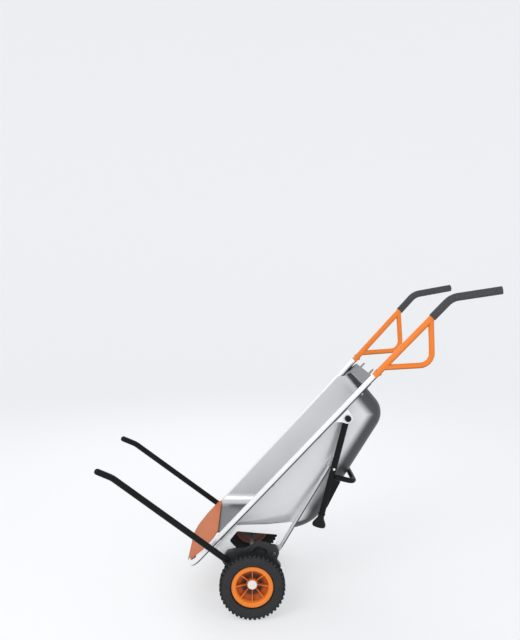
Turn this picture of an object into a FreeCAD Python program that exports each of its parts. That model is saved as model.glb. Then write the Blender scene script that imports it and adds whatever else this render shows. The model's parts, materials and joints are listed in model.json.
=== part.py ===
import FreeCAD
import Part
import math
import os
import Sketcher
from FreeCAD import Placement, Rotation, Vector

# A two-wheeled garden cart. Everything is drawn in the cart's own frame, with the origin at the middle
# of the wheel axle: +X along the rails to the handles, +Y to the left side, +Z out of the tub's mouth.
# One placement then tips the whole cart back on its wheels and sets it on the floor.

os.makedirs("parts", exist_ok=True)
doc = FreeCAD.newDocument("garden_cart")

DIMENSIONS = [
    ("tilt", 47, "lean of the rails above the floor, degrees"),
    ("centring", -166.77, "shift that centres the whole cart over the origin"),
    ("wheelRadius", 130, "ten-inch wheel"),
    ("wheelPlane", 285, "middle plane of a wheel from the middle of the cart"),
    ("tyreWidth", 50, ""),
    ("tyreWall", 7, ""),
    ("rimRadius", 82, "edge of the rim flange"),
    ("rimInner", 64, "inside of the rim flange"),
    ("ribCount", 8, ""),
    ("axleRadius", 8, ""),
    ("axleHalf", 274, ""),
    ("bushRadius", 12, ""),
    ("runningGap", 0.05, "radial clearance of what turns on a pin"),
    ("capRadius", 19, ""),
    ("railRadius", 11.5, ""),
    ("railWall", 1.5, ""),
    ("railHeight", 205, "rails above the axle"),
    ("railHalf", 200, "half spacing of the rails above the axle"),
    ("railSplay", 0.0312, "how much each rail spreads per millimetre of length"),
    ("noseReach", 150, "nose cross tube ahead of the axle"),
    ("noseBend", 60, ""),
    ("kinkReach", 885, "where the rails turn outwards to the handles"),
    ("railEnd", 967, ""),
    ("handleRadius", 12.8, ""),
    ("handleWall", 1.25, ""),
    ("handleStart", 925, ""),
    ("handleBendReach", 1347, ""),
    ("handleBendHalf", 262, ""),
    ("handleBend", 75, ""),
    ("handleEndReach", 1489, ""),
    ("handleEndHalf", 298, ""),
    ("handleEndHeight", 96, ""),
    ("gripStart", 1242, ""),
    ("gripRadius", 15.5, ""),
    ("loopRadius", 11.2, ""),
    ("loopBend", 48, ""),
    ("tubThickness", 1.4, ""),
    ("tubFillet", 52, "rounding along the bottom and up the corners"),
    ("tubLipTop", 213, "side walls stand up beside the rails to this height"),
    ("tubFront", 30, ""),
    ("tubRear", 873, ""),
    ("tubInset", 20, "tub wall inside the rail's middle line"),
    ("tubDraft", 0.1763, "how much each side leans in per millimetre of depth"),
    ("flangeEnd", 922, ""),
    ("legPlane", 217, ""),
    ("legRadius", 12.5, ""),
    ("legWall", 1.6, ""),
    ("legPivotX", 732, ""),
    ("legPivotZ", 167, ""),
    ("legLean", 28.9, "angle of the folded legs to the rails, degrees"),
    ("legLength", 425, ""),
    ("armPlane", 243, ""),
    ("armRadius", 12.5, ""),
    ("armWall", 1.6, ""),
    ("armPivotX", -7, ""),
    ("armPivotZ", 112, ""),
    ("armPivotRadius", 5, ""),
    ("carrierInner", 203.5, ""),
    ("carrierThickness", 26, ""),
    ("gussetInner", 192, ""),
    ("gussetThickness", 3, ""),
    ("strutPlane", 193, ""),
    ("strutRadius", 7.5, ""),
    ("strutWall", 1.5, ""),
    ("plateThickness", 3, ""),
    ("plateHalf", 196, ""),
    ("sleeveGap", 0.1, ""),
    ("sleeveWall", 3.6, ""),
]

sheet = doc.addObject("Spreadsheet::Sheet", "dims")
for row, (alias, value, note) in enumerate(DIMENSIONS, start=1):
    sheet.set(f"A{row}", alias)
    sheet.set(f"B{row}", str(value))
    sheet.set(f"C{row}", note)
    sheet.setAlias(f"B{row}", alias)
doc.recompute()


def size(alias):
    return float(getattr(sheet, alias))


SIDES = (("left", 1), ("right", -1))
CARRIER_BOLTS = ((135, 6), (40, 72))
STRUT_SCREW = (560, 80)
HANDLE_BOLT = 946
X_AXIS = Vector(1, 0, 0)
Y_AXIS = Vector(0, 1, 0)
Z_AXIS = Vector(0, 0, 1)
cart = Placement(Vector(size("centring"), 0, size("wheelRadius")), Rotation(Y_AXIS, -size("tilt")))
nodes = []


# Shared helpers

def keep(piece, label):
    """Give a finished sub-part its label and list it for writing."""
    piece.Label = label
    nodes.append(piece)
    return piece


def helper(piece, label):
    piece.Label = label + "_tool"
    return piece


def rail_half(x):
    """Half spacing of the two rails at a station along the cart."""
    return size("railHalf") + size("railSplay") * x


def handle_half(x):
    """Half spacing of the two handle tubes at a station along the cart."""
    start = size("kinkReach")
    share = (x - start) / (size("handleBendReach") - start)
    return rail_half(start) + share * (size("handleBendHalf") - rail_half(start))


def rounded(points, radii, closed=False):
    """Straight runs joined by tangent arcs: one radius for each corner."""
    count = len(points)
    starts = list(points)
    ends = list(points)
    arcs = [None] * count
    for index in range(count):
        radius = radii[index]
        if not radius or (not closed and index in (0, count - 1)):
            continue
        corner = points[index]
        back = (points[index - 1] - corner).normalize()
        ahead = (points[(index + 1) % count] - corner).normalize()
        half = back.getAngle(ahead) / 2
        reach = radius / math.tan(half)
        middle = (back + ahead).normalize() * (radius / math.sin(half) - radius)
        starts[index] = corner + back * reach
        ends[index] = corner + ahead * reach
        arcs[index] = Part.Arc(starts[index], corner + middle, ends[index])
    edges = []
    for index in range(count):
        if arcs[index]:
            edges.append(arcs[index])
        following = (index + 1) % count
        if following == 0 and not closed:
            break
        if (starts[following] - ends[index]).Length > 1e-6:
            edges.append(Part.LineSegment(ends[index], starts[following]))
    return edges


def new_body(label, kept=True):
    body = doc.addObject("PartDesign::Body", label)
    body.Placement = cart
    return keep(body, label) if kept else helper(body, label)


def plane_of(body, role):
    return next(item for item in body.Origin.OriginFeatures if item.Role == role)


def plane_sketch(body, role, offset):
    """Sketch on one of the body's own planes, moved along its normal."""
    sketch = body.newObject("Sketcher::SketchObject", "Outline")
    sketch.AttachmentSupport = [(plane_of(body, role), "")]
    sketch.MapMode = "FlatFace"
    sketch.AttachmentOffset = Placement(Vector(0, 0, offset), Rotation())
    return sketch


def side_sketch(body, y):
    """Sketch in the side view, x along the cart and y out of the tub, at a distance from its middle."""
    return plane_sketch(body, "XZ_Plane", -y)


def free_sketch(body, origin, x_axis, normal):
    sketch = body.newObject("Sketcher::SketchObject", "Outline")
    turned = Rotation(x_axis, normal.cross(x_axis), normal, "ZXY")
    sketch.Placement = Placement(origin, turned)
    return sketch


def draw(sketch, edges):
    for edge in edges:
        sketch.addGeometry(edge, False)


def draw_outline(sketch, corners, radii):
    points = [Vector(x, y, 0) for x, y in corners]
    if not isinstance(radii, (list, tuple)):
        radii = [radii] * len(points)
    draw(sketch, rounded(points, radii, closed=True))


def draw_circle(sketch, x, y, formula):
    """Circle whose radius follows the sheet."""
    index = sketch.addGeometry(Part.Circle(Vector(x, y, 0), Z_AXIS, 1), False)
    constraint = sketch.addConstraint(Sketcher.Constraint("Radius", index, 1))
    sketch.setExpression(f"Constraints[{constraint}]", formula)


def pad(body, sketch, formula, reverse=False, middle=False):
    feature = body.newObject("PartDesign::Pad", "Pad")
    feature.Profile = sketch
    feature.Reversed = reverse
    feature.Midplane = middle
    feature.setExpression("Length", formula)
    body.Tip = feature
    return feature


def pocket_through(body, sketch, length=200):
    """Cut the same depth on both sides of the sketch."""
    feature = body.newObject("PartDesign::Pocket", "Pocket")
    feature.Profile = sketch
    feature.Midplane = True
    feature.Type = "Length"
    feature.Length = length
    body.Tip = feature
    return feature


def tube_body(label, points, radii, outer, wall=None, kept=True):
    """Tube along a flat route of straight runs and arcs; solid where no wall is given."""
    body = new_body(label, kept)
    start = points[0]
    along = (points[1] - start).normalize()
    if len(points) > 2:
        normal = along.cross(points[2] - points[1]).normalize()
    else:
        normal = along.cross(Y_AXIS).normalize()
    across = normal.cross(along)
    route = free_sketch(body, start, along, normal)
    flat = [Vector((point - start).dot(along), (point - start).dot(across), 0) for point in points]
    draw(route, rounded(flat, radii))
    ring = free_sketch(body, start, normal, along)
    draw_circle(ring, 0, 0, outer)
    if wall:
        draw_circle(ring, 0, 0, f"{outer} - {wall}")
    doc.recompute()
    pipe = body.newObject("PartDesign::AdditivePipe", "Pipe")
    pipe.Profile = ring
    pipe.Spine = (route, [])
    body.Tip = pipe
    return body


def rod(label, radius, length, centre, axis=Y_AXIS, kept=False):
    """Round bar centred on a point, with its sizes bound to the sheet."""
    bar = doc.addObject("Part::Cylinder", label)
    bar.setExpression("Radius", radius)
    bar.setExpression("Height", length)
    doc.recompute()
    turn = Rotation(Z_AXIS, axis)
    base = centre - axis * (bar.Height.Value / 2)
    bar.Placement = cart.multiply(Placement(base, turn))
    return keep(bar, label) if kept else helper(bar, label)


def cut(label, base, *tools):
    """Base with the tools taken away."""
    result = doc.addObject("Part::Cut", label)
    result.Base = base
    result.Tool = tools[0] if len(tools) == 1 else bundle(label + "_tools", tools)
    return keep(result, label)


def bundle(name, pieces):
    group = doc.addObject("Part::Compound", name)
    group.Links = list(pieces)
    return group


# Frame

def make_rails():
    reach = size("noseReach")
    height = size("railHeight")
    kink = size("kinkReach")
    end = size("railEnd")
    route = [
        Vector(end, -handle_half(end), height),
        Vector(kink, -rail_half(kink), height),
        Vector(-reach, -rail_half(-reach), height),
        Vector(-reach, rail_half(-reach), height),
        Vector(kink, rail_half(kink), height),
        Vector(end, handle_half(end), height),
    ]
    bend = size("noseBend")
    rails = tube_body("rail_tube", route, [0, 300, bend, bend, 300, 0], "dims.railRadius", "dims.railWall")
    screw_holes = plane_sketch(rails, "XY_Plane", height - size("railRadius"))
    for x, y in screw_places():
        draw_circle(screw_holes, x, y, "3.2")
    pocket_through(rails, screw_holes, 16)
    bolt_holes = plane_sketch(rails, "XY_Plane", height)
    for _, side in SIDES:
        draw_circle(bolt_holes, HANDLE_BOLT, side * handle_half(HANDLE_BOLT), "3.1")
    pocket_through(rails, bolt_holes)


def make_gusset(label, side):
    """Welded plate between rail, strut and axle carrier, with one large window."""
    body = new_body(label)
    inner = size("gussetInner")
    face = inner if side > 0 else -inner
    outline = side_sketch(body, face)
    draw_outline(
        outline,
        [(-20, 189), (104, 189), (190, 99), (272, 26), (156, 3.4), (144, -8), (118, -22), (40, 30), (-34, 118),
         (-30, 150)],
        [4, 6, 200, 3, 4, 4, 10, 12, 16, 12],
    )
    pad(body, outline, "dims.gussetThickness", reverse=side > 0)
    window = side_sketch(body, face)
    draw_outline(window, [(90, 167), (194, 32), (144, 8), (34, 119), (40, 163)], [10, 8, 8, 12, 10])
    pocket_through(body, window)
    holes = side_sketch(body, face)
    for x, z in CARRIER_BOLTS:
        draw_circle(holes, x, z, "4.1")
    pocket_through(body, holes)
    return body


def make_strut(label, side):
    """Round brace from the axle carrier to the tub's side, with a flat lug welded on each end."""
    plane = side * size("strutPlane")
    low = Vector(158, plane, -8)
    high = Vector(540, plane, 77)
    tube = tube_body(label, [low, high], [0, 0], "dims.strutRadius", "dims.strutWall")
    low_lug = side_sketch(tube, side * 195.2)
    draw_outline(low_lug, [(119, 6), (134, 22), (164, 6), (168, -14), (134, -14)], 6)
    pad(tube, low_lug, "5", reverse=side > 0)
    high_lug = side_sketch(tube, side * 180.8)
    draw_outline(high_lug, [(534, 66), (534, 86), (572, 94), (576, 74)], 5)
    pad(tube, high_lug, "15", reverse=side > 0)
    holes = side_sketch(tube, plane)
    draw_circle(holes, *CARRIER_BOLTS[0], "4.1")
    draw_circle(holes, *STRUT_SCREW, "3.1")
    pocket_through(tube, holes)
    return tube


def make_carrier(label, side):
    """Thick cast bracket that joins the axle, the pot arm and the strut to the frame."""
    body = new_body(label)
    face = side * size("carrierInner")
    outline = side_sketch(body, face)
    draw_outline(
        outline,
        [(-36, 112), (-30, 140), (10, 146), (32, 132), (66, 99), (88, 91), (122, 80), (138, 56), (145, 36),
         (159, 18), (151, -8), (120, -22), (114, -54), (60, -40), (24, -28), (-14, -28), (-30, 6)],
        [10, 14, 12, 12, 14, 12, 14, 8, 6, 12, 12, 8, 5, 30, 12, 18, 18],
    )
    pad(body, outline, "dims.carrierThickness", reverse=side > 0)
    holes = side_sketch(body, face)
    draw_circle(holes, 0, 0, "dims.axleRadius")
    draw_circle(holes, size("armPivotX"), size("armPivotZ"), "dims.armPivotRadius")
    for x, z in CARRIER_BOLTS:
        draw_circle(holes, x, z, "4.1")
    pocket_through(body, holes)
    recess = side_sketch(body, face + side * size("carrierThickness"))
    draw_outline(recess, [(20, 112), (46, 84), (112, 74), (126, 36), (96, 2), (34, 8), (12, 60)], 12)
    hollow = body.newObject("PartDesign::Pocket", "Recess")
    hollow.Profile = recess
    hollow.Reversed = side > 0
    hollow.Length = 14
    body.Tip = hollow
    return body


# Tub

def tub_block():
    """Solid of the tub's outer shape: side profile met with the tapering plan."""
    rim = size("railHeight") - size("railRadius") - 0.1
    top = size("tubLipTop")
    front = size("tubFront")
    rear = size("tubRear")
    rise = (top - rim) / (rim + 75)
    profile = [
        Vector(front - rise * (290 - front), 0, top),
        Vector(290, 0, -75),
        Vector(856, 0, 50),
        Vector(rear + 3, 0, top),
    ]
    edges = [edge.toShape() for edge in rounded(profile, [0, 170, 90, 0], closed=True)]
    face = Part.Face(Part.Wire(Part.__sortEdges__(edges)))
    slab = face.extrude(Vector(0, 600, 0))
    slab.translate(Vector(0, -300, 0))

    def section(x):
        wide = rail_half(x) - size("tubInset") + size("tubDraft") * (top - rim)
        low = -100
        narrow = wide - size("tubDraft") * (top - low)
        return Part.makePolygon([Vector(x, wide, top), Vector(x, narrow, low), Vector(x, -narrow, low),
                                 Vector(x, -wide, top), Vector(x, wide, top)])

    wedge = Part.makeLoft([section(front - 40), section(rear + 10)], True, True)
    return slab.common(wedge)


def tub_flange():
    """Flat rim under the rails, with two round ears at the rear edge."""
    top = size("railHeight") - size("railRadius") - 0.1
    front = size("tubFront") - 22
    rear = size("flangeEnd")
    wide_front = rail_half(front) + 4
    wide_rear = rail_half(rear) + 2
    corners = [Vector(front, -wide_front, top), Vector(front, wide_front, top),
               Vector(rear - 30, wide_rear, top), Vector(rear, wide_rear - 34, top),
               Vector(rear, -wide_rear + 34, top), Vector(rear - 30, -wide_rear, top)]
    edges = [edge.toShape() for edge in rounded(corners, [30, 30, 14, 14, 14, 14], closed=True)]
    plate = Part.Face(Part.Wire(Part.__sortEdges__(edges)))
    rim = plate.extrude(Vector(0, 0, -size("tubThickness")))
    for y in (-93, 93):
        ear = Part.makeCylinder(15, size("tubThickness"), Vector(rear + 10, y, top), -Z_AXIS)
        neck = Part.makeBox(12, 30, size("tubThickness"), Vector(rear - 2, y - 15, top - size("tubThickness")))
        rim = rim.fuse([ear, neck])
    for y in (-93, 93):
        rim = rim.cut(Part.makeCylinder(5, 10, Vector(rear + 10, y, top + 5), -Z_AXIS))
    return rim


def above_deck():
    """What is cut away so that the tall walls end level with the rear deck."""
    low = size("railHeight") - size("railRadius") - 0.1
    high = size("tubLipTop") + 5
    rear = size("tubRear")
    corners = [Vector(rear - 30, 0, low), Vector(rear - 58, 0, high), Vector(rear + 60, 0, high),
               Vector(rear + 60, 0, low)]
    edges = [edge.toShape() for edge in rounded(corners, [8, 0, 0, 0], closed=True)]
    slab = Part.Face(Part.Wire(Part.__sortEdges__(edges))).extrude(Vector(0, 600, 0))
    slab.translate(Vector(0, -300, 0))
    return slab


def screw_places():
    """Where the tub's rim is screwed up into the rails."""
    return [(x, side * rail_half(x)) for x in (70, 330, 600, 840) for _, side in SIDES]


def make_tub():
    block = tub_block()
    low_edges = []
    corner_edges = []
    for edge in block.Edges:
        box = edge.BoundBox
        if box.ZMax > size("tubLipTop") - 1:
            if box.ZLength > 60 and box.YLength > 2:
                corner_edges.append(edge)
        elif box.YLength < 60:
            low_edges.append(edge)
    smooth = block.makeFillet(size("tubFillet"), low_edges + corner_edges)
    lid = max(smooth.Faces, key=lambda face: face.CenterOfMass.z)
    shell = smooth.makeThickness([lid], -size("tubThickness"), 1e-3)
    rim = tub_flange().cut(smooth)
    whole = shell.fuse(rim).cut(above_deck()).removeSplitter()
    for x, y in screw_places():
        whole = whole.cut(Part.makeCylinder(3.2, 30, Vector(x, y, size("railHeight") - 25), Z_AXIS))
    x, z = STRUT_SCREW
    whole = whole.cut(Part.makeCylinder(3.1, 600, Vector(x, -300, z), Y_AXIS))
    tub = doc.addObject("Part::Feature", "tub")
    tub.Shape = whole
    tub.Placement = cart
    return keep(tub, "tub")


def make_tub_screws():
    """Round-headed screws under the rim: one loose solid each."""
    height = size("railHeight") - size("railRadius")
    under = height - 0.1 - size("tubThickness")
    screws = []
    for x, y in screw_places():
        head = Part.makeCylinder(6, 3, Vector(x, y, under - 3), Z_AXIS)
        stem = Part.makeCylinder(3, 8, Vector(x, y, under), Z_AXIS)
        screws.append(head.fuse(stem).removeSplitter())
    group = doc.addObject("Part::Feature", "tub_screws")
    group.Shape = Part.makeCompound(screws)
    group.Placement = cart
    return keep(group, "tub_screws")


# Handles

def handle_route(side, start):
    height = size("railHeight")
    return [
        Vector(start, side * handle_half(start), height),
        Vector(size("handleBendReach"), side * size("handleBendHalf"), height),
        Vector(size("handleEndReach"), side * size("handleEndHalf"), size("handleEndHeight")),
    ]


def make_handle(name, side):
    bend = size("handleBend")
    route = handle_route(side, size("handleStart"))
    tube = tube_body("handle_tube_" + name, route, [0, bend, 0], "dims.handleRadius", "dims.handleWall")
    bolt_hole = plane_sketch(tube, "XY_Plane", size("railHeight"))
    draw_circle(bolt_hole, HANDLE_BOLT, side * handle_half(HANDLE_BOLT), "3.1")
    pocket_through(tube, bolt_hole)

    start = size("gripStart")
    sleeve_route = handle_route(side, start)
    last = (sleeve_route[2] - sleeve_route[1]).normalize()
    sleeve_route[2] = sleeve_route[2] + last * 4
    sleeve = tube_body(f"grip_sleeve_{name}", sleeve_route, [0, bend, 0], "dims.gripRadius", kept=False)
    core = tube_body(f"grip_core_{name}", handle_route(side, start), [0, bend, 0],
                     "dims.handleRadius + dims.runningGap", kept=False)
    cut("grip_" + name, sleeve, core)

    height = size("railHeight")
    corners = [(972, height), (1111, 74), (1236, height)]
    loop_route = [Vector(x, side * handle_half(x), z) for x, z in corners]
    loop = tube_body(f"loop_blank_{name}", loop_route, [0, size("loopBend"), 0], "dims.loopRadius",
                     "dims.railWall", kept=False)
    far = Vector(size("handleBendReach"), side * size("handleBendHalf"), height)
    near = Vector(900, side * handle_half(900), height)
    middle = (near + far) * 0.5
    stock = rod(f"loop_trim_{name}", "dims.handleRadius", str((far - near).Length), middle,
                (far - near).normalize())
    cut("handle_loop_" + name, loop, stock)


# Legs

def leg_point(distance, sideways=0.0):
    """Point in the side view at a distance down the folded leg from its pivot."""
    lean = math.radians(size("legLean"))
    x = size("legPivotX") - distance * math.cos(lean) + sideways * math.sin(lean)
    z = size("legPivotZ") - distance * math.sin(lean) - sideways * math.cos(lean)
    return x, z


def leg_vector(distance, y, sideways=0.0):
    x, z = leg_point(distance, sideways)
    return Vector(x, y, z)


def make_leg(name, side):
    plane = side * size("legPlane")
    route = [leg_vector(-14, plane), leg_vector(size("legLength"), plane)]
    leg = tube_body("leg_tube_" + name, route, [0, 0], "dims.legRadius", "dims.legWall")
    holes = side_sketch(leg, plane)
    draw_circle(holes, size("legPivotX"), size("legPivotZ"), "5 + dims.runningGap")
    pin_x, pin_z = leg_point(212)
    draw_circle(holes, pin_x, pin_z, "4")
    pocket_through(leg, holes)

    foot = doc.addObject("Part::Feature", "leg_foot_" + name)
    along = (route[1] - route[0]).normalize()
    collar = Part.Wire(Part.Circle(leg_vector(402, plane), along, 15).toShape())
    waist = Part.Wire(Part.Circle(leg_vector(425, plane), along, 16).toShape())
    sole = Part.Ellipse(Vector(0, 0, 0), 27, 18).toShape()
    sole.Placement = Placement(leg_vector(448, plane), Rotation(along.cross(Y_AXIS), Y_AXIS, along, "ZXY"))
    toe = Part.Ellipse(Vector(0, 0, 0), 25, 16).toShape()
    toe.Placement = Placement(leg_vector(456, plane), sole.Placement.Rotation)
    shoe = Part.makeLoft([collar, waist, Part.Wire(sole), Part.Wire(toe)], True, False)
    bore = Part.makeCylinder(size("legRadius") + 0.05, size("legLength") - 402 + 5,
                             leg_vector(397, plane), along)
    foot.Shape = shoe.cut(bore)
    foot.Placement = cart
    keep(foot, "leg_foot_" + name)

    web = new_body("leg_web_" + name)
    outline = side_sketch(web, plane - side * 1.5)
    corners = [leg_point(258, 12.6), leg_point(257, 40), leg_point(372, 14.5), leg_point(374, 12.6)]
    draw_outline(outline, corners, [0, 5, 0, 0])
    pad(web, outline, "3", reverse=side > 0)


def make_leg_crossbar():
    """Bar that runs under the tub from leg to leg, with a bent arm at each end."""
    plane = size("legPlane")
    reach = size("legRadius")
    route = [
        leg_vector(245, -plane, reach),
        leg_vector(245, -plane, 95),
        leg_vector(245, plane, 95),
        leg_vector(245, plane, reach),
    ]
    blank = tube_body("crossbar_blank", route, [0, 30, 30, 0], "10.5", "1.5", kept=False)
    stocks = []
    for name, side in SIDES:
        start = leg_vector(180, side * plane)
        end = leg_vector(310, side * plane)
        middle = (start + end) * 0.5
        stocks.append(rod(f"crossbar_trim_{name}", "dims.legRadius", "130", middle, (end - start).normalize()))
    return cut("leg_crossbar", blank, *stocks)


def make_leg_bracket(name, side):
    """Bracket under the rail: a half-round cheek outside the leg and a flat top for its screws."""
    body = new_body("leg_bracket_" + name)
    top = size("railHeight") - size("railRadius") - 0.1 - size("tubThickness") - 0.1
    pivot_x = size("legPivotX")
    pivot_z = size("legPivotZ")
    cheek = [(690, top), (758, top), (756, 178), (748, 150), (732, 145), (716, 152), (706, 172)]
    outline = side_sketch(body, side * 230.2)
    draw_outline(outline, cheek, [2, 2, 12, 13, 13, 13, 20])
    pad(body, outline, "3", reverse=side > 0)
    roof = side_sketch(body, side * 205.4)
    draw_outline(roof, [(690, top), (758, top), (758, top - 3), (691, top - 3)], 0)
    pad(body, roof, "27.8", reverse=side > 0)
    bore = side_sketch(body, side * 217)
    draw_circle(bore, pivot_x, pivot_z, "5")
    pocket_through(body, bore)


def make_leg_knob(name, side):
    """Pivot bolt of a leg with its round plastic head."""
    profile = [(0, 201.6), (7, 201.6), (7, 204.3), (5, 204.3), (5, 233.3), (12.5, 233.3), (12.5, 244),
               (10, 246.5), (4, 246.5), (4, 248), (0, 248)]
    return revolved("leg_pivot_" + name, profile, side, size("legPivotX"), size("legPivotZ"))


# Turned pieces about an axis across the cart

def revolved(label, profile, side, x=0.0, z=0.0, radii=0, kept=True):
    """Solid turned about an axis across the cart from pairs of radius and distance."""
    body = new_body(label, kept)
    sketch = free_sketch(body, Vector(x, 0, z), X_AXIS, Z_AXIS)
    draw_outline(sketch, [(radius, side * y) for radius, y in profile], radii)
    doc.recompute()
    feature = body.newObject("PartDesign::Revolution", "Turning")
    feature.Profile = sketch
    feature.ReferenceAxis = (sketch, ["V_Axis"])
    feature.Angle = 360
    body.Tip = feature
    return body


def make_arm(name, side):
    """Swinging pot arm with a bent tip and a rounded plug in its end."""
    plane = side * size("armPlane")
    low = Vector(size("armPivotX") + 1.7, plane, size("armPivotZ") - 16)
    bend = Vector(-69, plane, 687)
    tip = Vector(-90, plane, 746)
    arm = tube_body("arm_" + name, [low, bend, tip], [0, 90, 0], "dims.armRadius", "dims.armWall")
    hole = side_sketch(arm, plane)
    draw_circle(hole, size("armPivotX"), size("armPivotZ"), "dims.armPivotRadius + dims.runningGap")
    pocket_through(arm, hole)

    along = (tip - bend).normalize()
    plug = doc.addObject("Part::Feature", "arm_plug_" + name)
    dome = Part.makeSphere(size("armRadius"), tip + along * 0.1)
    half = Part.makeCylinder(20, 30, tip - along * 29.9, along)
    stem = Part.makeCylinder(size("armRadius") - size("armWall") - 0.05, 20, tip - along * 19.9, along)
    plug.Shape = dome.cut(half).fuse(stem).removeSplitter()
    plug.Placement = cart
    keep(plug, "arm_plug_" + name)
    outer = size("armPlane") + size("armRadius")
    profile = [(0, size("carrierInner") - 4), (9, size("carrierInner") - 4), (9, size("carrierInner")),
               (5, size("carrierInner")), (5, outer + 0.3), (10, outer + 0.3), (9, outer + 2.6), (0, outer + 2.6)]
    revolved("arm_pivot_" + name, profile, side, size("armPivotX"), size("armPivotZ"))


def make_footplate():
    """Folding nose plate that hinges on the nose cross tube."""
    body = new_body("footplate")
    reach = size("noseReach")
    height = size("railHeight")
    sleeve = size("railRadius") + size("sleeveGap") + size("sleeveWall")
    half = size("plateHalf")
    outline = plane_sketch(body, "XY_Plane", height + sleeve)
    draw_outline(
        outline,
        [(-reach, -122), (-reach, 122), (-128, 168), (-62, half), (6, half - 2), (28, 168), (28, -168),
         (6, -half + 2), (-62, -half), (-128, -168)],
        [4, 4, 40, 60, 18, 14, 14, 18, 60, 40],
    )
    pad(body, outline, "dims.plateThickness", reverse=True)
    tube = side_sketch(body, 0)
    draw_circle(tube, -reach, height, "dims.railRadius + dims.sleeveGap + dims.sleeveWall")
    pad(body, tube, "236", middle=True)
    bore = side_sketch(body, 0)
    draw_circle(bore, -reach, height, "dims.railRadius + dims.sleeveGap")
    feature = pocket_through(body, bore)
    feature.Length = 400


# Wheels

def make_wheel(name, side):
    plane = size("wheelPlane")
    radius = size("wheelRadius")
    half = size("tyreWidth") / 2
    wall = size("tyreWall")
    rim = size("rimRadius")

    def at(pairs):
        return [(r, plane + s) for r, s in pairs]

    bead = 13.3
    outer_half = [(76.1, 7), (76.1, bead), (82.7, bead), (85, half - 4), (94, half), (109, half),
                  (125, half - 5), (radius, half - 13)]
    inner_half = [(121, 11), (117, half - wall), (96, half - wall), (88, half - wall - 2), (83, 7)]
    outline = [(r, s) for r, s in outer_half] + [(r, -s) for r, s in reversed(outer_half)]
    outline += [(r, -s) for r, s in reversed(inner_half)] + [(r, s) for r, s in inner_half]
    outer_radii = [0, 0, 1, 3, 10, 12, 8, 5]
    inner_radii = [5, 5, 6, 4, 0]
    radii = outer_radii + outer_radii[::-1] + inner_radii[::-1] + inner_radii
    revolved("tyre_" + name, at(outline), side, radii=radii)

    hub = revolved("wheel_hub_" + name, at([
        (size("bushRadius"), -33), (20, -33), (21, -16), (60, -3), (68, -13.4), (70, -18), (rim, -18),
        (rim, -13.5), (76, -13.5), (76, 13.5), (rim, 13.5), (rim, 18), (size("rimInner"), 18), (62, 4),
        (22, -9), (20, -7), (size("bushRadius"), -7)]), side)
    rib = side_sketch(hub, side * (plane - 13))
    draw_outline(rib, [(19.6, -2.2), (64.5, -2.2), (64.5, 2.2), (19.6, 2.2)], 0)
    doc.recompute()
    ridge = body_pad_up_to(hub, rib, 21, side)
    pattern = hub.newObject("PartDesign::PolarPattern", "Ribs")
    pattern.Originals = [ridge]
    pattern.Axis = (rib, ["N_Axis"])
    pattern.Angle = 360
    pattern.setExpression("Occurrences", "dims.ribCount")
    hub.Tip = pattern

    bush = at([(size("axleRadius") + size("runningGap"), -33), (size("bushRadius"), -33),
               (size("bushRadius"), -13), (size("axleRadius") + size("runningGap"), -13)])
    revolved("wheel_bush_" + name, bush, side)
    cap_radius = size("capRadius")
    cap = at([(0, -4.8), (size("bushRadius") - 2, -4.8), (size("bushRadius") - 2, -6.9), (cap_radius, -6.9),
              (cap_radius, -3), (cap_radius - 2, -1.5), (10, -1.5), (8, -3), (0, -3)])
    revolved("hub_cap_" + name, cap, side)


def body_pad_up_to(body, sketch, length, side):
    feature = body.newObject("PartDesign::Pad", "Rib")
    feature.Profile = sketch
    feature.Reversed = side > 0
    feature.Length = length
    body.Tip = feature
    return feature


def make_axle():
    rod("axle", "dims.axleRadius", "2 * dims.axleHalf", Vector(0, 0, 0), kept=True)
    outer = size("carrierInner") + size("carrierThickness")
    hub_inner = size("wheelPlane") - 33
    for name, side in SIDES:
        spacer = [(size("axleRadius") + 0.02, outer + 0.1), (13, outer + 0.1), (13, hub_inner - 0.3),
                  (size("axleRadius") + 0.02, hub_inner - 0.3)]
        revolved("axle_spacer_" + name, spacer, side)


def turned(profile, centre, axis):
    """Plain solid turned about an axis through a point, from pairs of radius and distance along it."""
    sketch = Part.makePolygon([Vector(r, 0, d) for r, d in profile] + [Vector(profile[0][0], 0, profile[0][1])])
    solid = Part.Face(sketch).revolve(Vector(0, 0, 0), Z_AXIS, 360)
    solid.Placement = Placement(centre, Rotation(Z_AXIS, axis))
    return solid


def hexagon(radius, height, centre, axis):
    corners = [Vector(radius * math.cos(k * math.pi / 3), radius * math.sin(k * math.pi / 3), 0)
               for k in range(7)]
    prism = Part.Face(Part.makePolygon(corners)).extrude(Vector(0, 0, height))
    prism.Placement = Placement(centre, Rotation(Z_AXIS, axis))
    return prism


def hardware(label, solids):
    """Identical fasteners in one node, each a loose solid."""
    group = doc.addObject("Part::Feature", label)
    group.Shape = Part.makeCompound([solid.removeSplitter() for solid in solids])
    group.Placement = cart
    return keep(group, label)


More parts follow.
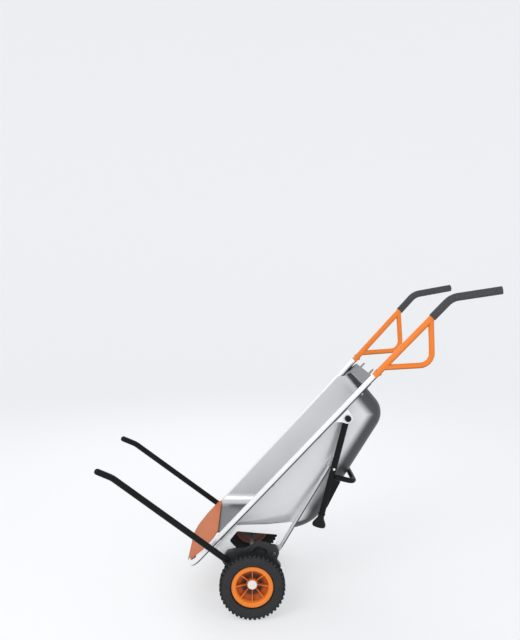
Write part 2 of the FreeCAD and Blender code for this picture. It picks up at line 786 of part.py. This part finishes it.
def make_hardware():
    face = size("carrierInner") + size("carrierThickness")
    height = size("railHeight")
    carrier_bolts = []
    strut_screws = []
    handle_bolts = []
    stop_pins = []
    retainers = []
    for _, side in SIDES:
        outwards = Vector(0, side, 0)
        for (x, z), seat, inner in zip(CARRIER_BOLTS, (face, face - 14), (188, 187)):
            grip_length = seat - inner
            base = Vector(x, side * inner, z)
            shank = turned([(0, 0), (4, 0), (4, grip_length + 1), (0, grip_length + 1)], base, outwards)
            head = hexagon(7.5, 5, Vector(x, side * (seat + 0.1), z), outwards)
            nut_face = 190 if inner == 188 else 188.5
            nut = hexagon(7.5, 191.8 - nut_face, Vector(x, side * nut_face, z), outwards)
            carrier_bolts.append(shank.fuse([head, nut]))
        x, z = STRUT_SCREW
        screw = [(0, 173), (3, 173), (3, 196), (6.5, 196), (6.5, 197.5), (4.5, 199.6), (0, 199.6)]
        strut_screws.append(turned(screw, Vector(x, 0, z), outwards))
        radius = size("handleRadius")
        bolt = [(0, -radius - 3.2), (5.5, -radius - 3.2), (5.5, -radius - 0.1), (3, -radius - 0.1),
                (3, radius + 0.1), (6, radius + 0.1), (5, radius + 3), (0, radius + 3)]
        place = Vector(HANDLE_BOLT, side * handle_half(HANDLE_BOLT), height)
        handle_bolts.append(turned(bolt, place, Z_AXIS))
        x, z = leg_point(212)
        plane = size("legPlane")
        outside = size("legRadius")
        pin = [(0, plane - outside - 1), (3.9, plane - outside - 1), (3.9, plane + outside + 0.1),
               (5.5, plane + outside + 0.1), (4.5, plane + outside + 3), (0, plane + outside + 3)]
        stop_pins.append(turned(pin, Vector(x, 0, z), outwards))
        end = size("axleHalf")
        bore = size("axleRadius") + 0.02
        ring = [(bore, end - 1.7), (11.4, end - 1.7), (11.4, end - 0.2), (bore, end - 0.2)]
        retainers.append(turned(ring, Vector(0, 0, 0), outwards))
    hardware("carrier_bolts", carrier_bolts)
    hardware("strut_screws", strut_screws)
    hardware("handle_bolts", handle_bolts)
    hardware("leg_stop_pins", stop_pins)
    hardware("axle_retainers", retainers)


make_rails()
make_tub()
make_tub_screws()
make_leg_crossbar()
make_footplate()
make_axle()
make_hardware()
for name, side in SIDES:
    make_gusset("gusset_" + name, side)
    make_strut("strut_" + name, side)
    make_carrier("axle_carrier_" + name, side)
    make_handle(name, side)
    make_leg(name, side)
    make_leg_bracket(name, side)
    make_leg_knob(name, side)
    make_arm(name, side)
    make_wheel(name, side)

doc.recompute()
for item in doc.Objects:
    if "Invalid" in item.State or "Error" in item.State:
        raise RuntimeError(f"{item.Label} failed: {item.State}")
for piece in nodes:
    shape = piece.Shape
    if shape.isNull() or not shape.isValid():
        raise RuntimeError(f"{piece.Label} has no valid shape")
for piece in nodes:
    piece.Shape.exportStep(f"parts/{piece.Label}.step")
whole = Part.makeCompound([piece.Shape for piece in nodes])
box = whole.BoundBox
print(len(nodes), "sub-parts, box", box)
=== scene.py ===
import math

import bmesh
import bpy
from mathutils import Matrix, Vector
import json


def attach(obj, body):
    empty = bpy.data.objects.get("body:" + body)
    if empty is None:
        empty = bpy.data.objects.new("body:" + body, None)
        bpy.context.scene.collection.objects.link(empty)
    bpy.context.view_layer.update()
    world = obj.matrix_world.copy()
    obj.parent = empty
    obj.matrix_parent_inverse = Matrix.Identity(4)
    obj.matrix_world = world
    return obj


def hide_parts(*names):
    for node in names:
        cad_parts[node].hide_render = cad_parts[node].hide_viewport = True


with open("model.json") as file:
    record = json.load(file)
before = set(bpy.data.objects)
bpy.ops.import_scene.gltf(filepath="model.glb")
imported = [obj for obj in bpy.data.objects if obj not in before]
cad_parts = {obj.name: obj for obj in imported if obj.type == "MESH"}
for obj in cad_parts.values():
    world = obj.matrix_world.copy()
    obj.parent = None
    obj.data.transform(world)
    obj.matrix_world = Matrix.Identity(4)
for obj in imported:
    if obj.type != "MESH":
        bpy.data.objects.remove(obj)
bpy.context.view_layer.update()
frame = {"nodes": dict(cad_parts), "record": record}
nodes = frame["nodes"]
print("frame loaded:", len(nodes), "nodes")

# The cart's own frame: x along the rails to the handles, z out of the tub, origin at the axle.
cart = {"centring": -0.16677, "axleHeight": 0.130, "tilt": 47.0}
toWorld = Matrix.Translation((cart["centring"], 0, cart["axleHeight"])) @ Matrix.Rotation(
    math.radians(-cart["tilt"]), 4, "Y")
sides = (("left", 1), ("right", -1))


# Camera, floor and lights

view = {"place": (-0.1744, -2.545, 1.3235), "pitch": 3.84, "yaw": 0.959, "lens": 33.525, "sensor": 36}


def makeCamera():
    data = bpy.data.cameras.new("camera")
    data.lens = view["lens"]
    data.sensor_width = view["sensor"]
    camera = bpy.data.objects.new("camera", data)
    camera.location = view["place"]
    camera.rotation_euler = (math.radians(90 - view["pitch"]), 0, math.radians(-view["yaw"]))
    bpy.context.scene.collection.objects.link(camera)
    bpy.context.scene.camera = camera


studio = {"flatRadius": 5.2, "curve": 2.2, "curveSteps": 12, "wallHeight": 6.0, "steps": 96,
          "floorColour": (0.42, 0.425, 0.43, 1), "glowColour": (0.93, 0.945, 0.96, 1), "glow": 0.53,
          "skyColour": (0.93, 0.945, 0.965, 1), "skyStrength": 0.80}


def makeFloor():
    # round floor that curves up into the wall
    shape = bmesh.new()
    middle = shape.verts.new((0, 0, 0))
    rim = shape.verts.new((studio["flatRadius"], 0, 0))
    shape.edges.new((middle, rim))
    turn = bmesh.ops.spin(shape, geom=[rim], cent=(studio["flatRadius"], 0, studio["curve"]), axis=(0, -1, 0),
                          angle=math.radians(90), steps=studio["curveSteps"])["geom_last"]
    curveTop = [vert for vert in turn if isinstance(vert, bmesh.types.BMVert)]
    top = bmesh.ops.extrude_vert_indiv(shape, verts=curveTop)["verts"]
    bmesh.ops.translate(shape, verts=top, vec=(0, 0, studio["wallHeight"]))
    bmesh.ops.spin(shape, geom=list(shape.verts) + list(shape.edges), cent=(0, 0, 0), axis=(0, 0, 1),
                   angle=math.tau, steps=studio["steps"], use_merge=True)
    bmesh.ops.remove_doubles(shape, verts=shape.verts, dist=0.0001)
    bmesh.ops.recalc_face_normals(shape, faces=shape.faces)
    mesh = bpy.data.meshes.new("floor")
    shape.to_mesh(mesh)
    shape.free()
    mesh.polygons.foreach_set("use_smooth", [True] * len(mesh.polygons))
    floor = bpy.data.objects.new("floor", mesh)
    bpy.context.scene.collection.objects.link(floor)
    material = bpy.data.materials.new("paleFloor")
    material.use_nodes = True
    shader = material.node_tree.nodes["Principled BSDF"]
    shader.inputs["Base Color"].default_value = studio["floorColour"]
    shader.inputs["Roughness"].default_value = 1.0
    shader.inputs["Specular IOR Level"].default_value = 0.0
    shader.inputs["Emission Color"].default_value = studio["glowColour"]
    shader.inputs["Emission Strength"].default_value = studio["glow"]
    floor.data.materials.append(material)


lamps = {"keyLight": {"place": (-1.6, -2.2, 2.6), "target": (0, 0, 0.6), "size": (1.4, 1.4), "power": 32},
         "fillLight": {"place": (2.0, -2.8, 1.4), "target": (0.1, 0, 0.5), "size": (1.8, 1.8), "power": 10},
         "backLight": {"place": (-0.8, 2.4, 2.6), "target": (0, 0, 0.6), "size": (2.0, 1.2), "power": 22}}


def addLight(name, place, target, size, power):
    data = bpy.data.lights.new(name, "AREA")
    data.shape = "RECTANGLE"
    data.size, data.size_y = size
    data.energy = power
    light = bpy.data.objects.new(name, data)
    light.location = place
    light.rotation_euler = (Vector(target) - Vector(place)).to_track_quat("-Z", "Y").to_euler()
    bpy.context.scene.collection.objects.link(light)


def makeLights():
    world = bpy.data.worlds.new("paleStudio")
    world.use_nodes = True
    background = world.node_tree.nodes["Background"]
    background.inputs["Color"].default_value = studio["skyColour"]
    background.inputs["Strength"].default_value = studio["skyStrength"]
    bpy.context.scene.world = world
    for name, lamp in lamps.items():
        addLight(name, **lamp)
    bpy.context.scene.view_settings.view_transform = "Standard"


makeCamera()
makeFloor()
makeLights()
print("camera, floor and lights made")


# Materials

def nodeMaterial(name, roughness, metallic, specular):
    material = bpy.data.materials.new(name)
    material.use_nodes = True
    shader = material.node_tree.nodes["Principled BSDF"]
    shader.inputs["Roughness"].default_value = roughness
    shader.inputs["Metallic"].default_value = metallic
    shader.inputs["Specular IOR Level"].default_value = specular
    return material, material.node_tree, shader


def coordinate(tree, output):
    return tree.nodes.new("ShaderNodeTexCoord").outputs[output]


def objectCoordinates(tree, scale=(1, 1, 1), turn=(0, 0, 0)):
    mapping = tree.nodes.new("ShaderNodeMapping")
    mapping.inputs["Scale"].default_value = scale
    mapping.inputs["Rotation"].default_value = [math.radians(angle) for angle in turn]
    tree.links.new(coordinate(tree, "Object"), mapping.inputs["Vector"])
    return mapping.outputs["Vector"]


def noise(tree, vector, scale, detail=4.0):
    node = tree.nodes.new("ShaderNodeTexNoise")
    node.inputs["Scale"].default_value = scale
    node.inputs["Detail"].default_value = detail
    node.inputs["Roughness"].default_value = 0.55
    tree.links.new(vector, node.inputs["Vector"])
    return node.outputs["Fac"]


def remap(tree, value, low, high):
    node = tree.nodes.new("ShaderNodeMapRange")
    node.inputs["To Min"].default_value = low
    node.inputs["To Max"].default_value = high
    tree.links.new(value, node.inputs["Value"])
    return node.outputs["Result"]


def stretch(tree, value, low, high):
    # 0 below low, 1 above high, smooth between them
    node = tree.nodes.new("ShaderNodeMapRange")
    node.interpolation_type = "SMOOTHSTEP"
    node.inputs["From Min"].default_value = low
    node.inputs["From Max"].default_value = high
    tree.links.new(value, node.inputs["Value"])
    return node.outputs["Result"]


def joined(tree, operation, first, second):
    node = tree.nodes.new("ShaderNodeMath")
    node.operation = operation
    node.use_clamp = True
    for socket, value in zip(node.inputs, (first, second)):
        if isinstance(value, float):
            socket.default_value = value
        else:
            tree.links.new(value, socket)
    return node.outputs["Value"]


def across(tree, output, direction):
    # how far a coordinate reaches along a direction of the piece itself
    dot = tree.nodes.new("ShaderNodeVectorMath")
    dot.operation = "DOT_PRODUCT"
    dot.inputs[1].default_value = direction
    tree.links.new(coordinate(tree, output), dot.inputs[0])
    return dot.outputs["Value"]


def facing(tree, direction, low, high):
    # 0 to 1 as the surface turns towards the direction
    return stretch(tree, across(tree, "Normal", direction), low, high)


def mixColours(tree, factor, first, second):
    node = tree.nodes.new("ShaderNodeMix")
    node.data_type = "RGBA"
    tree.links.new(factor, node.inputs["Factor"])
    for socket, value in ((node.inputs[6], first), (node.inputs[7], second)):
        if isinstance(value, tuple):
            socket.default_value = (*value, 1)
        else:
            tree.links.new(value, socket)
    return node.outputs[2]


def bump(tree, shader, height, strength, distance):
    node = tree.nodes.new("ShaderNodeBump")
    node.inputs["Strength"].default_value = strength
    node.inputs["Distance"].default_value = distance
    tree.links.new(height, node.inputs["Height"])
    tree.links.new(node.outputs["Normal"], shader.inputs["Normal"])


def powderCoat(name, colour, deep, roughness, metallic=0.0, grain=900.0, specular=0.5, paintedShade=None):
    # fine orange peel over slow changes of tone, with optional painted shade: a direction, its reach and the colour
    # painted as shade on the surfaces turned that way
    material, tree, shader = nodeMaterial(name, roughness, metallic, specular)
    vector = objectCoordinates(tree)
    paint = mixColours(tree, noise(tree, vector, 9.0), deep, colour)
    if paintedShade:
        direction, low, high, shade = paintedShade
        # painted shade on the surfaces that face the given direction
        paint = mixColours(tree, facing(tree, direction, low, high), paint, shade)
    tree.links.new(paint, shader.inputs["Base Color"])
    tree.links.new(remap(tree, noise(tree, vector, 45.0), roughness - 0.08, roughness + 0.10),
                   shader.inputs["Roughness"])
    bump(tree, shader, noise(tree, vector, grain, 2.0), 0.12, 0.0004)
    return material


def gripRubber(name, colour, deep):
    # fine pebbled rubber
    material, tree, shader = nodeMaterial(name, 0.75, 0.0, 0.25)
    vector = objectCoordinates(tree)
    cells = tree.nodes.new("ShaderNodeTexVoronoi")
    cells.inputs["Scale"].default_value = 260.0
    tree.links.new(vector, cells.inputs["Vector"])
    pebbles = cells.outputs["Distance"]
    tree.links.new(mixColours(tree, remap(tree, pebbles, 0.0, 1.4), colour, deep), shader.inputs["Base Color"])
    tree.links.new(remap(tree, noise(tree, vector, 60.0), 0.66, 0.84), shader.inputs["Roughness"])
    bump(tree, shader, pebbles, 0.5, 0.0009)
    return material


# distances are from the cart's middle plane, out to the wheel's outer face
hubShade = {"orange": (0.88, 0.245, 0.030), "patch": (0.76, 0.19, 0.022), "paintedDishShade": (0.48, 0.098, 0.012),
            "inner": (0.085, 0.026, 0.014), "dishReach": (0.276, 0.296), "innerReach": (0.2705, 0.2735)}
tyreShade = {"outerWallGrey": (0.040, 0.040, 0.041), "patch": (0.028, 0.028, 0.029), "tread": (0.012, 0.012, 0.012),
             "wallReach": (0.302, 0.308)}


def fromMiddle(tree):
    # distance from the cart's middle plane, the same on both wheels
    parts = tree.nodes.new("ShaderNodeSeparateXYZ")
    tree.links.new(coordinate(tree, "Object"), parts.inputs["Vector"])
    distance = tree.nodes.new("ShaderNodeMath")
    distance.operation = "ABSOLUTE"
    tree.links.new(parts.outputs["Y"], distance.inputs[0])
    return distance.outputs["Value"]


def hubPlastic(name):
    # moulded orange plastic, with painted shade: deeper orange in the recess, deep brown at its bottom and over the
    # inner side
    material, tree, shader = nodeMaterial(name, 0.4, 0.0, 0.3)
    vector = objectCoordinates(tree)
    distance = fromMiddle(tree)
    paint = mixColours(tree, noise(tree, vector, 14.0), hubShade["patch"], hubShade["orange"])
    # painted shade, deeper orange in the hub's recess
    paint = mixColours(tree, stretch(tree, distance, *hubShade["dishReach"]), hubShade["paintedDishShade"], paint)
    # painted shade, deep brown at the recess bottom and over the inner side
    paint = mixColours(tree, stretch(tree, distance, *hubShade["innerReach"]), hubShade["inner"], paint)
    tree.links.new(paint, shader.inputs["Base Color"])
    tree.links.new(remap(tree, noise(tree, vector, 50.0), 0.32, 0.5), shader.inputs["Roughness"])
    bump(tree, shader, noise(tree, vector, 700.0, 2.0), 0.1, 0.0004)
    return material


def tyreRubber(name):
    # greyer on the outward face of the side wall, blacker on the tread and the inner side
    material, tree, shader = nodeMaterial(name, 0.8, 0.0, 0.14)
    vector = objectCoordinates(tree)
    rubber = mixColours(tree, noise(tree, vector, 24.0), tyreShade["patch"], tyreShade["outerWallGrey"])
    rubber = mixColours(tree, stretch(tree, fromMiddle(tree), *tyreShade["wallReach"]), tyreShade["tread"], rubber)
    tree.links.new(rubber, shader.inputs["Base Color"])
    tree.links.new(remap(tree, noise(tree, vector, 70.0), 0.72, 0.9), shader.inputs["Roughness"])
    bump(tree, shader, noise(tree, vector, 480.0, 2.0), 0.25, 0.0005)
    return material


# runs of the tub's side outline and the rear deck are in the cart's own frame
# of the colours below, the first two are the sheet's own tone, the third and fourth are painted shade
tubShade = {"light": (0.76, 0.765, 0.775), "patch": (0.66, 0.665, 0.675), "paintedShadeDark": (0.050, 0.052, 0.055),
            "paintedShadeGrey": (0.13, 0.132, 0.137), "bandWidth": 0.078, "bandFade": 0.036,
            "bottom": ((0.290, -0.075), (0.856, 0.050)), "rear": ((0.856, 0.050), (0.876, 0.213)),
            "deckStart": (0.845, 0.880), "frontWall": (0.84, 0.99), "turnedBack": (0.14, 0.36),
            "turnedDown": (0.15, 0.36), "depth": 0.96}


def nearWall(tree, ends):
    # 1 beside one straight run of the tub's side outline, fading out above it
    start, end = [toWorld @ Vector((x, 0, z)) for x, z in ends]
    run = (end - start).normalized()
    inwards = Vector((0, 1, 0)).cross(run)
    if inwards.dot(toWorld @ Vector((0.5, 0, 0.2)) - start) < 0:
        inwards = -inwards
    edge = start.dot(inwards) + tubShade["bandWidth"]
    return joined(tree, "SUBTRACT", 1.0,
                  stretch(tree, across(tree, "Object", inwards), edge - tubShade["bandFade"], edge))


def outerSide(tree):
    # 1 where the surface faces away from the tub's middle plane
    product = tree.nodes.new("ShaderNodeVectorMath")
    product.operation = "MULTIPLY"
    tree.links.new(coordinate(tree, "Normal"), product.inputs[0])
    tree.links.new(coordinate(tree, "Object"), product.inputs[1])
    parts = tree.nodes.new("ShaderNodeSeparateXYZ")
    tree.links.new(product.outputs["Vector"], parts.inputs["Vector"])
    return stretch(tree, parts.outputs["Y"], 0.0, 0.02)


def tubSteel(name):
    # satin sheet with painted shade: near black in a band along the bottom and the rear of the outer sides and on
    # faces turned back or down, a deep tone on the front wall and the rear deck
    material, tree, shader = nodeMaterial(name, 0.34, 0.6, 0.4)
    vector = objectCoordinates(tree)
    steel = mixColours(tree, noise(tree, vector, 7.0), tubShade["patch"], tubShade["light"])
    # painted shade on the faces turned up, the front wall
    frontWall = facing(tree, (0, 0, 1), *tubShade["frontWall"])
    steel = mixColours(tree, frontWall, steel, tubShade["paintedShadeGrey"])
    # painted shade over the rear deck
    alongRails = toWorld.to_3x3() @ Vector((1, 0, 0))
    axlePoint = toWorld.translation.dot(alongRails)
    low, high = tubShade["deckStart"]
    deck = stretch(tree, across(tree, "Object", alongRails), axlePoint + low, axlePoint + high)
    steel = mixColours(tree, deck, steel, tubShade["paintedShadeGrey"])
    # painted shade, near black in a band along the bottom and the rear of the outer sides and on faces turned back
    # or down
    band = joined(tree, "MAXIMUM", nearWall(tree, tubShade["bottom"]), nearWall(tree, tubShade["rear"]))
    band = joined(tree, "MULTIPLY", band, outerSide(tree))
    turned = joined(tree, "MAXIMUM", facing(tree, (1, 0, 0), *tubShade["turnedBack"]),
                    facing(tree, (0, 0, -1), *tubShade["turnedDown"]))
    band = joined(tree, "MAXIMUM", band, turned)
    steel = mixColours(tree, joined(tree, "MULTIPLY", band, tubShade["depth"]), steel, tubShade["paintedShadeDark"])
    tree.links.new(steel, shader.inputs["Base Color"])
    brushed = noise(tree, objectCoordinates(tree, (4, 60, 4), (0, cart["tilt"], 0)), 30.0)
    tree.links.new(remap(tree, brushed, 0.26, 0.44), shader.inputs["Roughness"])
    bump(tree, shader, noise(tree, vector, 900.0, 2.0), 0.06, 0.0004)
    return material


def makeMaterials():
    made = {}
    # directions of painted shade: deep orange below the handles, near black below the rails, behind the struts and
    # below the plates
    down = (0.0, 0.0, -1.0)
    belowRail = (0.6, 0.0, -0.8)
    behindStrut = (0.75, 0.0, -0.66)
    made["handle"] = powderCoat("orangePowder", (0.86, 0.235, 0.030), (0.76, 0.185, 0.020), 0.42, specular=0.3,
                                paintedShade=(down, 0.2, 0.9, (0.42, 0.085, 0.012)))
    made["nose_plate"] = powderCoat("orangePlate", (0.60, 0.160, 0.042), (0.47, 0.112, 0.028), 0.5,
                                    specular=0.25)
    made["frame_tube"] = powderCoat("silverTube", (0.90, 0.905, 0.91), (0.80, 0.805, 0.815), 0.3, metallic=0.35,
                                    paintedShade=(belowRail, 0.22, 0.55, (0.030, 0.030, 0.032)))
    made["strut"] = powderCoat("strutSilver", (0.62, 0.625, 0.635), (0.52, 0.525, 0.53), 0.34, metallic=0.4,
                               paintedShade=(behindStrut, -0.05, 0.35, (0.025, 0.025, 0.027)))
    made["frame_plate"] = powderCoat("palePlate", (0.90, 0.905, 0.91), (0.80, 0.805, 0.81), 0.4,
                                     paintedShade=(down, 0.3, 0.8, (0.06, 0.06, 0.062)))
    made["tub"] = tubSteel("satinTub")
    made["black_paint"] = powderCoat("blackPaint", (0.010, 0.010, 0.011), (0.005, 0.005, 0.005), 0.32,
                                     specular=0.12)
    made["black_casting"] = powderCoat("blackCasting", (0.060, 0.062, 0.066), (0.030, 0.031, 0.033), 0.45,
                                       grain=500.0, specular=0.2)
    made["black_plastic"] = powderCoat("blackPlastic", (0.012, 0.012, 0.013), (0.007, 0.007, 0.007), 0.42,
                                       specular=0.14)
    made["tyre"] = tyreRubber("tyreRubber")
    made["hub"] = hubPlastic("orangePlastic")
    made["cap"] = powderCoat("whiteCap", (0.85, 0.85, 0.83), (0.72, 0.71, 0.68), 0.4)
    made["bush"] = powderCoat("blackNylon", (0.03, 0.03, 0.03), (0.02, 0.02, 0.02), 0.5, specular=0.25)
    made["grip"] = gripRubber("greyGrip", (0.095, 0.096, 0.098), (0.045, 0.045, 0.047))
    made["axle_steel"] = powderCoat("turnedSteel", (0.45, 0.45, 0.46), (0.32, 0.32, 0.33), 0.32, metallic=1.0)
    made["zinc"] = powderCoat("zincPlate", (0.62, 0.63, 0.64), (0.48, 0.49, 0.50), 0.28, metallic=1.0)
    made["pin"] = powderCoat("brightPin", (0.85, 0.85, 0.85), (0.75, 0.75, 0.75), 0.2, metallic=0.9)
    return made


materials = makeMaterials()
finishOf = {entry["node"]: entry["material_slot"] for entry in frame["record"]["subparts"]}
finishOf.update(strut_left="strut", strut_right="strut")
for nodeName, node in nodes.items():
    node.data.materials.clear()
    node.data.materials.append(materials[finishOf[nodeName]])
print("materials made:", len(materials))


# Shaping helpers

def turnProfile(shape, outline, steps):
    # outline in millimetres from the axle's line and along it
    corners = [shape.verts.new((radius / 1000, along / 1000, 0)) for radius, along in outline]
    edges = [shape.edges.new(pair) for pair in zip(corners, corners[1:] + corners[:1])]
    bmesh.ops.spin(shape, geom=corners + edges, cent=(0, 0, 0), axis=(0, 1, 0), angle=math.tau, steps=steps,
                   use_merge=True)
    bmesh.ops.remove_doubles(shape, verts=shape.verts, dist=0.00001)


def softenCorners(shape, width, minimum):
    # width in millimetres, on the corners that turn by more than the minimum in degrees
    bmesh.ops.recalc_face_normals(shape, faces=shape.faces)
    sharp = [edge for edge in shape.edges
             if len(edge.link_faces) == 2 and edge.calc_face_angle() > math.radians(minimum)]
    bmesh.ops.bevel(shape, geom=sharp, offset=width / 1000, offset_type="OFFSET", affect="EDGES",
                    segments=2, profile=0.5, material=-1)


def addBlock(shape, size, matrix, bevelled=0.0):
    made = bmesh.ops.create_cube(shape, size=1.0, matrix=matrix @ Matrix.Diagonal((*size, 1)))["verts"]
    if bevelled:
        edges = list({edge for vert in made for edge in vert.link_edges})
        bmesh.ops.bevel(shape, geom=edges, offset=bevelled, offset_type="OFFSET", affect="EDGES", segments=1,
                        profile=0.5, material=-1)
    return made


def finishPiece(name, shape, place, body, slotName, replaced):
    bmesh.ops.transform(shape, matrix=place, verts=shape.verts)
    bmesh.ops.remove_doubles(shape, verts=shape.verts, dist=0.00001)
    bmesh.ops.recalc_face_normals(shape, faces=shape.faces)
    mesh = bpy.data.meshes.new(name)
    shape.to_mesh(mesh)
    shape.free()
    mesh.polygons.foreach_set("use_smooth", [True] * len(mesh.polygons))
    mesh.set_sharp_from_angle(angle=math.radians(38))
    mesh.materials.append(materials[slotName])
    piece = bpy.data.objects.new(name, mesh)
    bpy.context.scene.collection.objects.link(piece)
    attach(piece, body)
    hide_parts(replaced)


wheel = {"plane": 0.285}


def onAxle(side):
    return Matrix.Translation((cart["centring"], side * wheel["plane"], cart["axleHeight"]))


def faceOut(side):
    return Matrix.Diagonal((1, side, 1, 1))


# Tyres, in millimetres from the axle's line and from the wheel's middle plane

tyre = {"steps": 96,
        "outer": [(76.2, 7), (76.2, 13.2), (82.8, 13.2), (85, 19.5), (89, 23), (96, 24.3), (104, 24.5), (113, 23.4),
                  (120, 21.2), (125, 17), (127.2, 9), (127.6, 0)],
        "inner": [(120, 11), (116, 17), (97, 17.5), (89, 16), (84.5, 7)],
        "rounding": 0.8, "roundAbove": 16.0, "lugs": 44,
        "shoulderLug": (9.0, 14.0, 10.2), "shoulderMiddle": (124.6, 15.6), "shoulderSlant": 9, "shoulderBevel": 1.6,
        "crownLug": (6.0, 11.5, 9.0), "crownMiddle": 126.6, "crownSlant": 24, "crownBevel": 0.9}


def makeTyre(name, side):
    shape = bmesh.new()
    outer = tyre["outer"] + [(radius, -along) for radius, along in tyre["outer"][-2::-1]]
    inner = [(radius, -along) for radius, along in tyre["inner"][::-1]] + tyre["inner"]
    turnProfile(shape, outer + inner, tyre["steps"])
    softenCorners(shape, tyre["rounding"], tyre["roundAbove"])
    shoulderLug, crownLug = [[value / 1000 for value in tyre[lug]] for lug in ("shoulderLug", "crownLug")]
    reach, along = tyre["shoulderMiddle"]
    pitch = 360 / tyre["lugs"]
    for index in range(tyre["lugs"]):
        turn = Matrix.Rotation(math.radians(index * pitch), 4, "Y")
        halfOn = Matrix.Rotation(math.radians((index + 0.5) * pitch), 4, "Y")
        for hand, around in ((1, turn), (-1, halfOn)):
            slant = Matrix.Rotation(math.radians(hand * tyre["shoulderSlant"]), 4, "X")
            place = around @ Matrix.Translation((reach / 1000, hand * along / 1000, 0)) @ slant
            addBlock(shape, shoulderLug, place, tyre["shoulderBevel"] / 1000)
        slant = Matrix.Rotation(math.radians(tyre["crownSlant"]), 4, "X")
        place = turn @ Matrix.Translation((tyre["crownMiddle"] / 1000, 0, 0)) @ slant
        addBlock(shape, crownLug, place, tyre["crownBevel"] / 1000)
    finishPiece("treaded_tyre_" + name, shape, onAxle(side), "wheel_" + name, "tyre", "tyre_" + name)


# Hubs and caps; a rib's ends are its reach, its top and its foot

hub = {"steps": 96, "rounding": 0.9, "roundAbove": 25.0,
       "ribs": 8, "ribWidth": 3.4, "ribOuter": (63.0, 9.5, -11.5), "ribInner": (20.5, -6.0, -18.5),
       "outline": [(12.1, -33), (20, -33), (21, -21), (58, -14), (67, -15.5), (70, -18), (81.9, -18), (81.9, -13.6),
                   (76, -13.6), (76, 13.6), (81.9, 13.6), (81.9, 16.2), (79.5, 18), (68, 18), (64.0, 14.5),
                   (61.0, -8.0), (56, -10.5), (27, -17.0), (22, -7.4), (12.1, -7.4)]}
cap = {"steps": 48, "rounding": 0.5, "roundAbove": 20.0,
       "outline": [(0, -4.9), (9.8, -4.9), (9.8, -6.9), (19, -6.9), (19, -3.6), (17.4, -1.2), (13.4, 0.4),
                   (10.4, 0.2), (9.4, -1.0), (6.6, -1.2), (5.6, 0.6), (2.4, 1.2), (0, 1.3)]}


def makeHub(name, side):
    shape = bmesh.new()
    turnProfile(shape, hub["outline"], hub["steps"])
    softenCorners(shape, hub["rounding"], hub["roundAbove"])
    outerReach, innerReach = hub["ribOuter"][0], hub["ribInner"][0]
    middle = (outerReach + innerReach) / 2000
    block = ((outerReach - innerReach) / 1000, 0.002, hub["ribWidth"] / 1000)
    for index in range(hub["ribs"]):
        turn = Matrix.Rotation(math.radians(index * 360 / hub["ribs"]), 4, "Y")
        back = turn.inverted()
        for vert in addBlock(shape, block, turn @ Matrix.Translation((middle, 0, 0))):
            local = back @ vert.co
            top, foot = (hub["ribOuter"] if local.x > middle else hub["ribInner"])[1:]
            local.y = (top if local.y > 0 else foot) / 1000  # slopes the rib down to the hub's middle
            vert.co = turn @ local
    finishPiece("ribbed_hub_" + name, shape, onAxle(side) @ faceOut(side), "wheel_" + name, "hub",
                "wheel_hub_" + name)


def makeCap(name, side):
    shape = bmesh.new()
    turnProfile(shape, cap["outline"], cap["steps"])
    softenCorners(shape, cap["rounding"], cap["roundAbove"])
    finishPiece("ringed_cap_" + name, shape, onAxle(side) @ faceOut(side), "wheel_" + name, "cap",
                "hub_cap_" + name)


for sideName, side in sides:
    makeTyre(sideName, side)
    makeHub(sideName, side)
    makeCap(sideName, side)
print("wheels made")
